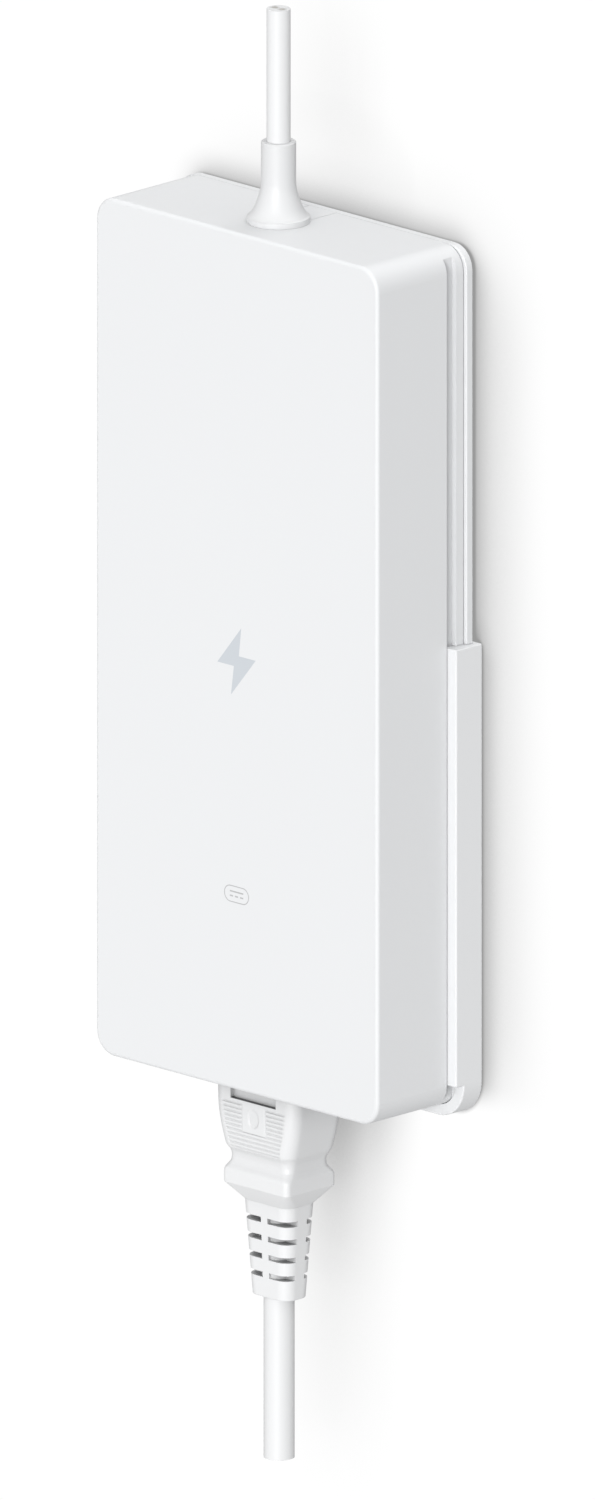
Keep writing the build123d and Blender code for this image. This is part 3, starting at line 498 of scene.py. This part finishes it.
# Steps along the long sides, the short sides and each corner.
GRIP_COUNTS = (122, 20, 10)
RELIEF_COUNTS = (24, 8, 12)


def section_slope(i, column):
    """Slope of a section's column against height, flat at a turn and at both ends."""
    if i in (0, len(GRIP_SECTIONS) - 1):
        return 0.0
    previous, here, following = GRIP_SECTIONS[i - 1 : i + 2]
    first = (here[column] - previous[column]) / (here[0] - previous[0])
    second = (following[column] - here[column]) / (following[0] - here[0])
    return 0.0 if first * second <= 0 else 2 * first * second / (first + second)


def smooth_section(height):
    """Width, depth and corner radius of the grip at a height, by a monotone cubic."""
    if height >= GRIP_SECTIONS[0][0]:
        return GRIP_SECTIONS[0][1:]
    if height <= GRIP_SECTIONS[-1][0]:
        return GRIP_SECTIONS[-1][1:]
    k = next(i for i in range(len(GRIP_SECTIONS) - 1) if GRIP_SECTIONS[i + 1][0] <= height)
    upper, lower = GRIP_SECTIONS[k], GRIP_SECTIONS[k + 1]
    step = lower[0] - upper[0]
    t = (height - upper[0]) / step
    values = []
    for column in (1, 2, 3):
        value = (2 * t**3 - 3 * t**2 + 1) * upper[column]
        value += (t**3 - 2 * t**2 + t) * step * section_slope(k, column)
        value += (3 * t**2 - 2 * t**3) * lower[column]
        value += (t**3 - t**2) * step * section_slope(k + 1, column)
        values.append(value)
    return values


def soft_step(value, start, end):
    """Rises smoothly from 0 at the start value to 1 at the end value."""
    t = min(1.0, max(0.0, (value - start) / (end - start)))
    return t * t * (3 - 2 * t)


def rib_relief(x, height, half_flat):
    """How far the grip's front or back sinks at a point: ribs, patch, dimple and panel."""
    x = abs(x)
    rib_reach = half_flat + 0.2 * (height - RIB_LOW) / (RIB_TOP - RIB_LOW)
    in_ribs = soft_step(height, RIB_LOW - EDGE, RIB_LOW + EDGE)
    in_ribs *= 1 - soft_step(height, RIB_TOP - EDGE, RIB_TOP + EDGE)
    in_ribs *= 1 - soft_step(x, rib_reach - 3 * EDGE, rib_reach)
    above_patch = soft_step(height, PATCH_LOW - EDGE, PATCH_LOW + EDGE)
    in_patch = above_patch * (1 - soft_step(x, PATCH_HALF_WIDTH, PATCH_HALF_WIDTH + 1.5 * EDGE))
    phase = ((height - RIB_LOW) / RIB_PITCH) % 1.0
    groove = 1 - soft_step(abs(phase - 0.5), 0.06, 0.32)
    ribs = RIB_DEPTH * groove * in_ribs * (1 - in_patch)
    patch_edge = 1 - soft_step(abs(x - PATCH_HALF_WIDTH), 0.5 * EDGE, 2.5 * EDGE)
    patch_line = PATCH_LINE_DEPTH * patch_edge * above_patch * in_ribs
    away = math.hypot(x / DIMPLE_HALF_WIDTH, (height - DIMPLE_HEIGHT) / DIMPLE_HALF_HEIGHT)
    dimple = DIMPLE_DEPTH * (1 - soft_step(away, 0.75, 1.05))
    in_panel = 1 - soft_step(x, PANEL_HALF_WIDTH - 1.5 * EDGE, PANEL_HALF_WIDTH)
    panel = PANEL_DEPTH * in_panel * soft_step(height, PANEL_LOW, PANEL_LOW + 1.6 * EDGE)
    return max(ribs, patch_line) + dimple + panel


def face_columns(half_flat, count):
    """X positions across a flat face: fixed places over the ribs, then out to the corners."""
    fixed = min(RIB_COLUMNS, 0.9 * half_flat)
    outer = 8
    inner = count - 2 * outer
    columns = [-half_flat + (half_flat - fixed) * i / outer for i in range(outer)]
    columns += [-fixed + 2 * fixed * i / inner for i in range(inner + 1)]
    columns += [fixed + (half_flat - fixed) * (i + 1) / outer for i in range(outer)]
    return columns


def rounded_ring(height, width, depth, radius, long_count, short_count, corner_count, relief=False):
    """Points round a rounded rectangle at a height: front, right side, back, left side."""
    half_w, half_d = width / 2, depth / 2
    flat_w, flat_d = half_w - radius, half_d - radius
    points = []

    def corner(centre_x, centre_y, start):
        for i in range(1, corner_count):
            angle = start + math.pi / 2 * i / corner_count
            x = centre_x + radius * math.cos(angle)
            points.append((x, centre_y + radius * math.sin(angle)))

    def sink(x):
        return rib_relief(x, height, flat_w) if relief else 0.0

    columns = face_columns(flat_w, long_count)
    points += [(x, -half_d + sink(x)) for x in columns]
    corner(flat_w, -flat_d, -math.pi / 2)
    for i in range(short_count + 1):
        points.append((half_w, -flat_d + 2 * flat_d * i / short_count))
    corner(flat_w, flat_d, 0.0)
    points += [(x, half_d - sink(x)) for x in reversed(columns)]
    corner(-flat_w, flat_d, math.pi / 2)
    for i in range(short_count + 1):
        points.append((-half_w, flat_d - 2 * flat_d * i / short_count))
    corner(-flat_w, -flat_d, math.pi)
    z = case_bottom + height * MM
    return [Vector((x * MM, plug_axis_y + y * MM, z)) for x, y in points]


def plug_grip():
    """Grip, waist, ring and taper in one skin, with real ribs on its front and back."""
    bm = bmesh.new()
    rings = []
    height = GRIP_SECTIONS[0][0]
    while height > RIB_LOW - 3 * EDGE:
        rings.append(rounded_ring(height, *smooth_section(height), *GRIP_COUNTS, relief=True))
        height -= FINE_STEP
    while height > GRIP_SECTIONS[-1][0]:
        rings.append(rounded_ring(height, *smooth_section(height), *GRIP_COUNTS))
        height -= COARSE_STEP
    width, depth, radius = GRIP_SECTIONS[-1][1:]
    softened = (width - 1.6 * EDGE, depth - 1.6 * EDGE, radius)
    rings.append(rounded_ring(GRIP_SECTIONS[-1][0], width, depth, radius, *GRIP_COUNTS))
    rings.append(rounded_ring(RING_LOW + 1.5 * EDGE, width, depth, radius, *GRIP_COUNTS))
    rings.append(rounded_ring(RING_LOW, *softened, *GRIP_COUNTS))
    rings.append(rounded_ring(TAPER_LOW, *RELIEF_TOP, *GRIP_COUNTS))
    loft_rings(bm, rings)
    return mesh_from("plug_grip", bm, 28)


def corner_outline():
    """Outline of one slot's corner in mm: round the core, then out past the relief's skin."""
    start = math.asin(SPINE_HALF_DEPTH / CORE_RADIUS)
    end = math.acos(SPINE_HALF_WIDTH / CORE_RADIUS)
    arc = [start + (end - start) * i / 12 for i in range(13)]
    outline = [(CORE_RADIUS * math.cos(a), CORE_RADIUS * math.sin(a)) for a in arc]
    reach_x, reach_y = CUTTER_REACH
    outline += [(SPINE_HALF_WIDTH, reach_y), (reach_x, reach_y), (reach_x, SPINE_HALF_DEPTH)]
    return outline


def relief_cutters():
    """Four corner cutters at each slot level, clear of the four spines."""
    bm = bmesh.new()
    for level in SLOT_LEVELS:
        heights = (case_bottom + level * MM, case_bottom + (level + SLOT_HEIGHT) * MM)
        for side_x in (-1, 1):
            for side_y in (-1, 1):
                place = [
                    (side_x * x * MM, plug_axis_y + side_y * y * MM) for x, y in corner_outline()
                ]
                loft_rings(bm, [[Vector((x, y, z)) for x, y in place] for z in heights])
    return mesh_from("relief_cutters", bm)


def cord_bore():
    """Round hole for the cord through the relief."""
    bm = bmesh.new()
    radius = cord_radius + 0.02 * MM
    turn = [2 * math.pi * i / 64 for i in range(64)]
    circle = [(radius * math.cos(a), plug_axis_y + radius * math.sin(a)) for a in turn]
    heights = (plug_bottom - 2 * MM, case_bottom + (TAPER_LOW + 2) * MM)
    loft_rings(bm, [[Vector((x, y, z)) for x, y in circle] for z in heights])
    return mesh_from("cord_bore", bm)


def cut(piece, cutter_mesh):
    """Subtracts a mesh from a piece and bakes the result."""
    cutter = bpy.data.objects.new("cutter", cutter_mesh)
    bpy.context.scene.collection.objects.link(cutter)
    modifier = piece.modifiers.new("cut", "BOOLEAN")
    modifier.operation = "DIFFERENCE"
    modifier.solver = "EXACT"
    modifier.object = cutter
    bake(piece)
    bpy.data.objects.remove(cutter)


def bake(piece):
    """Applies the piece's modifiers."""
    graph = bpy.context.evaluated_depsgraph_get()
    mesh = bpy.data.meshes.new_from_object(piece.evaluated_get(graph))
    piece.modifiers.clear()
    piece.data = mesh


def plug_relief():
    """Strain relief below the grip's taper, before its slots are cut."""
    bm = bmesh.new()
    low = (plug_bottom - case_bottom) / MM
    width, depth, radius = RELIEF_LOW
    softened = (width - 3 * EDGE, depth - 3 * EDGE, radius - 1.5 * EDGE)
    rings = [
        rounded_ring(TAPER_LOW, *RELIEF_TOP, *RELIEF_COUNTS),
        rounded_ring(low + 2 * EDGE, *RELIEF_LOW, *RELIEF_COUNTS),
        rounded_ring(low, *softened, *RELIEF_COUNTS),
    ]
    loft_rings(bm, rings)
    return mesh_from("plug_relief", bm)


grip = add_piece("plug_grip", plug_grip(), grip_pvc, "mains_plug")
relief = add_piece("plug_relief", plug_relief(), relief_pvc, "mains_plug")
cut(relief, relief_cutters())
cut(relief, cord_bore())
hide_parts("plug_overmould")


# ---------------------------------------------------------------- printed marks
# Sizes in mm, and places in mm from each mark's centre. The pill's height is above the underside.
INK_THICKNESS = 0.02 * MM
BOLT = ((1.6, 8.7), (-6.6, -1.3), (-0.9, -1.3), (-1.9, -8.7), (6.6, 1.5), (0.8, 1.5))
PILL_HEIGHT = 49.6
PILL_HALF_LENGTH = 2.15
PILL_OUTER = 2.12
PILL_INNER = 1.9
# Left, right, low and high of a line and three dashes.
CURRENT_SIGN = (
    (-2.3, 2.3, 0.45, 0.8),
    (-2.3, -1.2, -0.7, -0.35),
    (-0.55, 0.55, -0.7, -0.35),
    (1.2, 2.3, -0.7, -0.35),
)


def printed_outline(bm, outline, hole=None):
    """Thin raised ink inside an outline of (x, z) points, with an optional matching hole."""
    back, front = front_y, front_y - INK_THICKNESS

    def points_at(points, y):
        return [bm.verts.new((x, y, z)) for x, z in points]

    outer_back, outer_front = points_at(outline, back), points_at(outline, front)
    count = len(outline)
    for i in range(count):
        j = (i + 1) % count
        bm.faces.new((outer_back[i], outer_back[j], outer_front[j], outer_front[i]))
    if hole is None:
        bm.faces.new(outer_back)
        bm.faces.new(outer_front[::-1])
        return
    inner_back, inner_front = points_at(hole, back), points_at(hole, front)
    for i in range(count):
        j = (i + 1) % count
        bm.faces.new((inner_back[j], inner_back[i], inner_front[i], inner_front[j]))
        bm.faces.new((outer_back[i], inner_back[i], inner_back[j], outer_back[j]))
        bm.faces.new((outer_front[i], outer_front[j], inner_front[j], inner_front[i]))


def bolt_mark():
    """Plain power bolt, centred on the front."""
    centre_z = case_bottom + case_height / 2
    bm = bmesh.new()
    printed_outline(bm, [(x * MM, centre_z + z * MM) for x, z in BOLT])
    bm.normal_update()
    bmesh.ops.triangulate(bm, faces=[f for f in bm.faces if len(f.verts) > 4])
    return mesh_from("bolt_mark", bm)


def pill_points(radius, centre_z, steps=24):
    """Outline of the pill at an end radius."""
    points = []
    for side, start in ((1, -math.pi / 2), (-1, math.pi / 2)):
        for i in range(steps + 1):
            angle = start + math.pi * i / steps
            x = side * PILL_HALF_LENGTH + radius * math.cos(angle)
            points.append((x * MM, centre_z + radius * math.sin(angle) * MM))
    return points


def pill_mark():
    """Pill outline round the sign for direct current: a line over three dashes."""
    centre_z = case_bottom + PILL_HEIGHT * MM
    bm = bmesh.new()
    printed_outline(bm, pill_points(PILL_OUTER, centre_z), pill_points(PILL_INNER, centre_z))
    for left, right, low, high in CURRENT_SIGN:
        corners = ((left, low), (right, low), (right, high), (left, high))
        printed_outline(bm, [(x * MM, centre_z + z * MM) for x, z in corners])
    return mesh_from("pill_mark", bm)


add_piece("front_mark", bolt_mark(), logo_ink, "adapter")
add_piece("rating_mark", pill_mark(), rating_ink, "adapter")


# ---------------------------------------------------------------- stage
# Reach in mm, power and strength of each painted shadow on the wall, and the way it looks for the
# object.
SIDE_SHADE = (30, 1.9, 0.7, (-0.574, -0.819, 0.0))
NEAR_SHADE = (8, 1.3, 0.8, (0.0, -1.0, 0.0))
CONTACT_SHADE = (1.2, 1.2, 1.0, (0.0, -1.0, 0.0))
CABLE_SHADE = (30, 1.5, 0.85, (0.0, -1.0, 0.0))
DARKEST_SHADE = 0.32
WALL_STRENGTH = 1.01
STAGE_HALF = 3.0


def stage_plane(name, corners, material):
    """Flat stage surface that only the camera sees."""
    mesh = bpy.data.meshes.new(name)
    mesh.from_pydata(corners, [], [(0, 1, 2, 3)])
    plane = bpy.data.objects.new(name, mesh)
    bpy.context.scene.collection.objects.link(plane)
    mesh.materials.append(material)
    for flag in ("visible_diffuse", "visible_glossy", "visible_transmission", "visible_shadow"):
        setattr(plane, flag, False)


def wall_material():
    """Glowing white wall with painted shadow beside the case and behind the plug and both cables.
    """
    tree = Tree("studio_wall")

    def shade(reach, power, strength, facing):
        inputs = {"Distance": reach * MM, "Normal": facing}
        node = tree.add("ShaderNodeAmbientOcclusion", inputs, samples=16)
        hidden = tree.math("POWER", tree.math("SUBTRACT", 1.0, node.outputs["AO"]), power)
        return tree.math("SUBTRACT", 1.0, tree.math("MULTIPLY", hidden, strength))

    height = tree.axis("Z")
    from_middle = tree.math("ABSOLUTE", tree.axis("X"))
    below_case = tree.fade(height, case_bottom + 6 * MM, case_bottom - 3 * MM)
    above_case = tree.fade(height, case_top + 12 * MM, case_top + 32 * MM)
    beside_case = tree.math("MULTIPLY", shade(*SIDE_SHADE), shade(*NEAR_SHADE))
    beside_case = tree.blend(below_case, beside_case, 1.0)
    near_plug = tree.math("MULTIPLY", tree.fade(from_middle, 34 * MM, 14 * MM), below_case)
    near_lead = tree.math("MULTIPLY", tree.fade(from_middle, 26 * MM, 10 * MM), above_case)
    behind_cables = tree.blend(tree.math("ADD", near_plug, near_lead), 1.0, shade(*CABLE_SHADE))
    light = tree.math("MULTIPLY", beside_case, behind_cables)
    light = tree.math("MULTIPLY", light, shade(*CONTACT_SHADE))
    light = tree.math("MAXIMUM", light, DARKEST_SHADE)
    strength = tree.math("MULTIPLY", light, WALL_STRENGTH)
    return tree.one_sided(tree.add("ShaderNodeEmission", {"Strength": strength}).outputs[0])


def floor_material():
    """Pale floor."""
    tree = Tree("studio_floor")
    diffuse = tree.add("ShaderNodeBsdfDiffuse", {"Color": (0.95, 0.95, 0.95, 1.0)})
    lift = tree.add("ShaderNodeEmission", {"Color": (1, 1, 1, 1), "Strength": 0.2})
    both = tree.add("ShaderNodeAddShader", {0: diffuse.outputs[0], 1: lift.outputs[0]})
    return tree.one_sided(both.outputs[0])


stage_square = [(x * STAGE_HALF, y * STAGE_HALF) for x, y in ((-1, -1), (1, -1), (1, 1), (-1, 1))]
wall_y = cad_high.y
floor_z = case_bottom - 0.2
stage_plane("studio_wall", [(x, wall_y, z) for x, z in stage_square], wall_material())
stage_plane("studio_floor", [(x, y, floor_z) for x, y in stage_square], floor_material())


# ---------------------------------------------------------------- light
HORIZON = 0.355
ZENITH = 1.27
NADIR = 0.80
BRIGHTEST = 1.5


def studio_world():
    """Soft surround, darkest at the horizon and brightest overhead; the camera sees plain white."""
    world = bpy.data.worlds.new("studio")
    bpy.context.scene.world = world
    world.use_nodes = True
    nodes, links = world.node_tree.nodes, world.node_tree.links
    nodes.clear()
    direction = nodes.new("ShaderNodeTexCoord")
    split = nodes.new("ShaderNodeSeparateXYZ")
    links.new(direction.outputs["Generated"], split.inputs[0])
    turn = nodes.new("ShaderNodeMapRange")
    turn.inputs["From Min"].default_value = -1.0
    links.new(split.outputs["Z"], turn.inputs["Value"])
    ramp = nodes.new("ShaderNodeFloatCurve")
    links.new(turn.outputs[0], ramp.inputs["Value"])
    curve = ramp.mapping.curves[0]
    curve.points[0].location = (0.0, NADIR / BRIGHTEST)
    curve.points[1].location = (1.0, ZENITH / BRIGHTEST)
    curve.points.new(0.5, HORIZON / BRIGHTEST)
    for point in curve.points:
        point.handle_type = "VECTOR"
    ramp.mapping.update()
    level = nodes.new("ShaderNodeMath")
    level.operation = "MULTIPLY"
    level.inputs[1].default_value = BRIGHTEST
    links.new(ramp.outputs[0], level.inputs[0])
    soft = nodes.new("ShaderNodeBackground")
    soft.inputs["Color"].default_value = (1.0, 1.0, 1.0, 1.0)
    links.new(level.outputs[0], soft.inputs["Strength"])
    white = nodes.new("ShaderNodeBackground")
    white.inputs["Color"].default_value = (1.0, 1.0, 1.0, 1.0)
    path = nodes.new("ShaderNodeLightPath")
    pick = nodes.new("ShaderNodeMixShader")
    links.new(path.outputs["Is Camera Ray"], pick.inputs[0])
    links.new(soft.outputs[0], pick.inputs[1])
    links.new(white.outputs[0], pick.inputs[2])
    output = nodes.new("ShaderNodeOutputWorld")
    links.new(pick.outputs[0], output.inputs["Surface"])


def soft_sun(name, azimuth, elevation, spread, energy):
    """Broad sun: azimuth from the front towards the right, elevation and spread in degrees."""
    light = bpy.data.lights.new(name, "SUN")
    light.energy = energy
    light.angle = math.radians(spread)
    lamp = bpy.data.objects.new(name, light)
    bpy.context.scene.collection.objects.link(lamp)
    turn, rise = math.radians(azimuth), math.radians(elevation)
    level = math.cos(rise)
    source = Vector((level * math.sin(turn), -level * math.cos(turn), math.sin(rise)))
    lamp.rotation_mode = "QUATERNION"
    lamp.rotation_quaternion = source.to_track_quat("Z", "Y")


studio_world()
soft_sun("key", 28, 6, 24, 2.43)
soft_sun("top", 180, 52, 40, 0.60)


# ---------------------------------------------------------------- camera
AZIMUTH = math.radians(45.0)
ELEVATION = math.radians(15.9)
FRAME_HEIGHT = 0.36585
AIM_RIGHT = 3.2 * MM
AIM_UP = -4.67 * MM
CAMERA_DISTANCE = 1.6

back = Vector((
    math.sin(AZIMUTH) * math.cos(ELEVATION),
    -math.cos(AZIMUTH) * math.cos(ELEVATION),
    math.sin(ELEVATION),
))
right = Vector((math.cos(AZIMUTH), math.sin(AZIMUTH), 0.0))
above = back.cross(right)
camera_data = bpy.data.cameras.new("camera")
camera_data.type = "ORTHO"
camera_data.ortho_scale = FRAME_HEIGHT
camera_data.clip_start = 0.01
camera_data.clip_end = 20.0
camera = bpy.data.objects.new("camera", camera_data)
bpy.context.scene.collection.objects.link(camera)
aim = (cad_low + cad_high) / 2 + right * AIM_RIGHT + above * AIM_UP
camera.location = aim + back * CAMERA_DISTANCE
camera.rotation_mode = "QUATERNION"
camera.rotation_quaternion = (-back).to_track_quat("-Z", "Y")
bpy.context.scene.camera = camera
bpy.context.scene.view_settings.view_transform = "Standard"
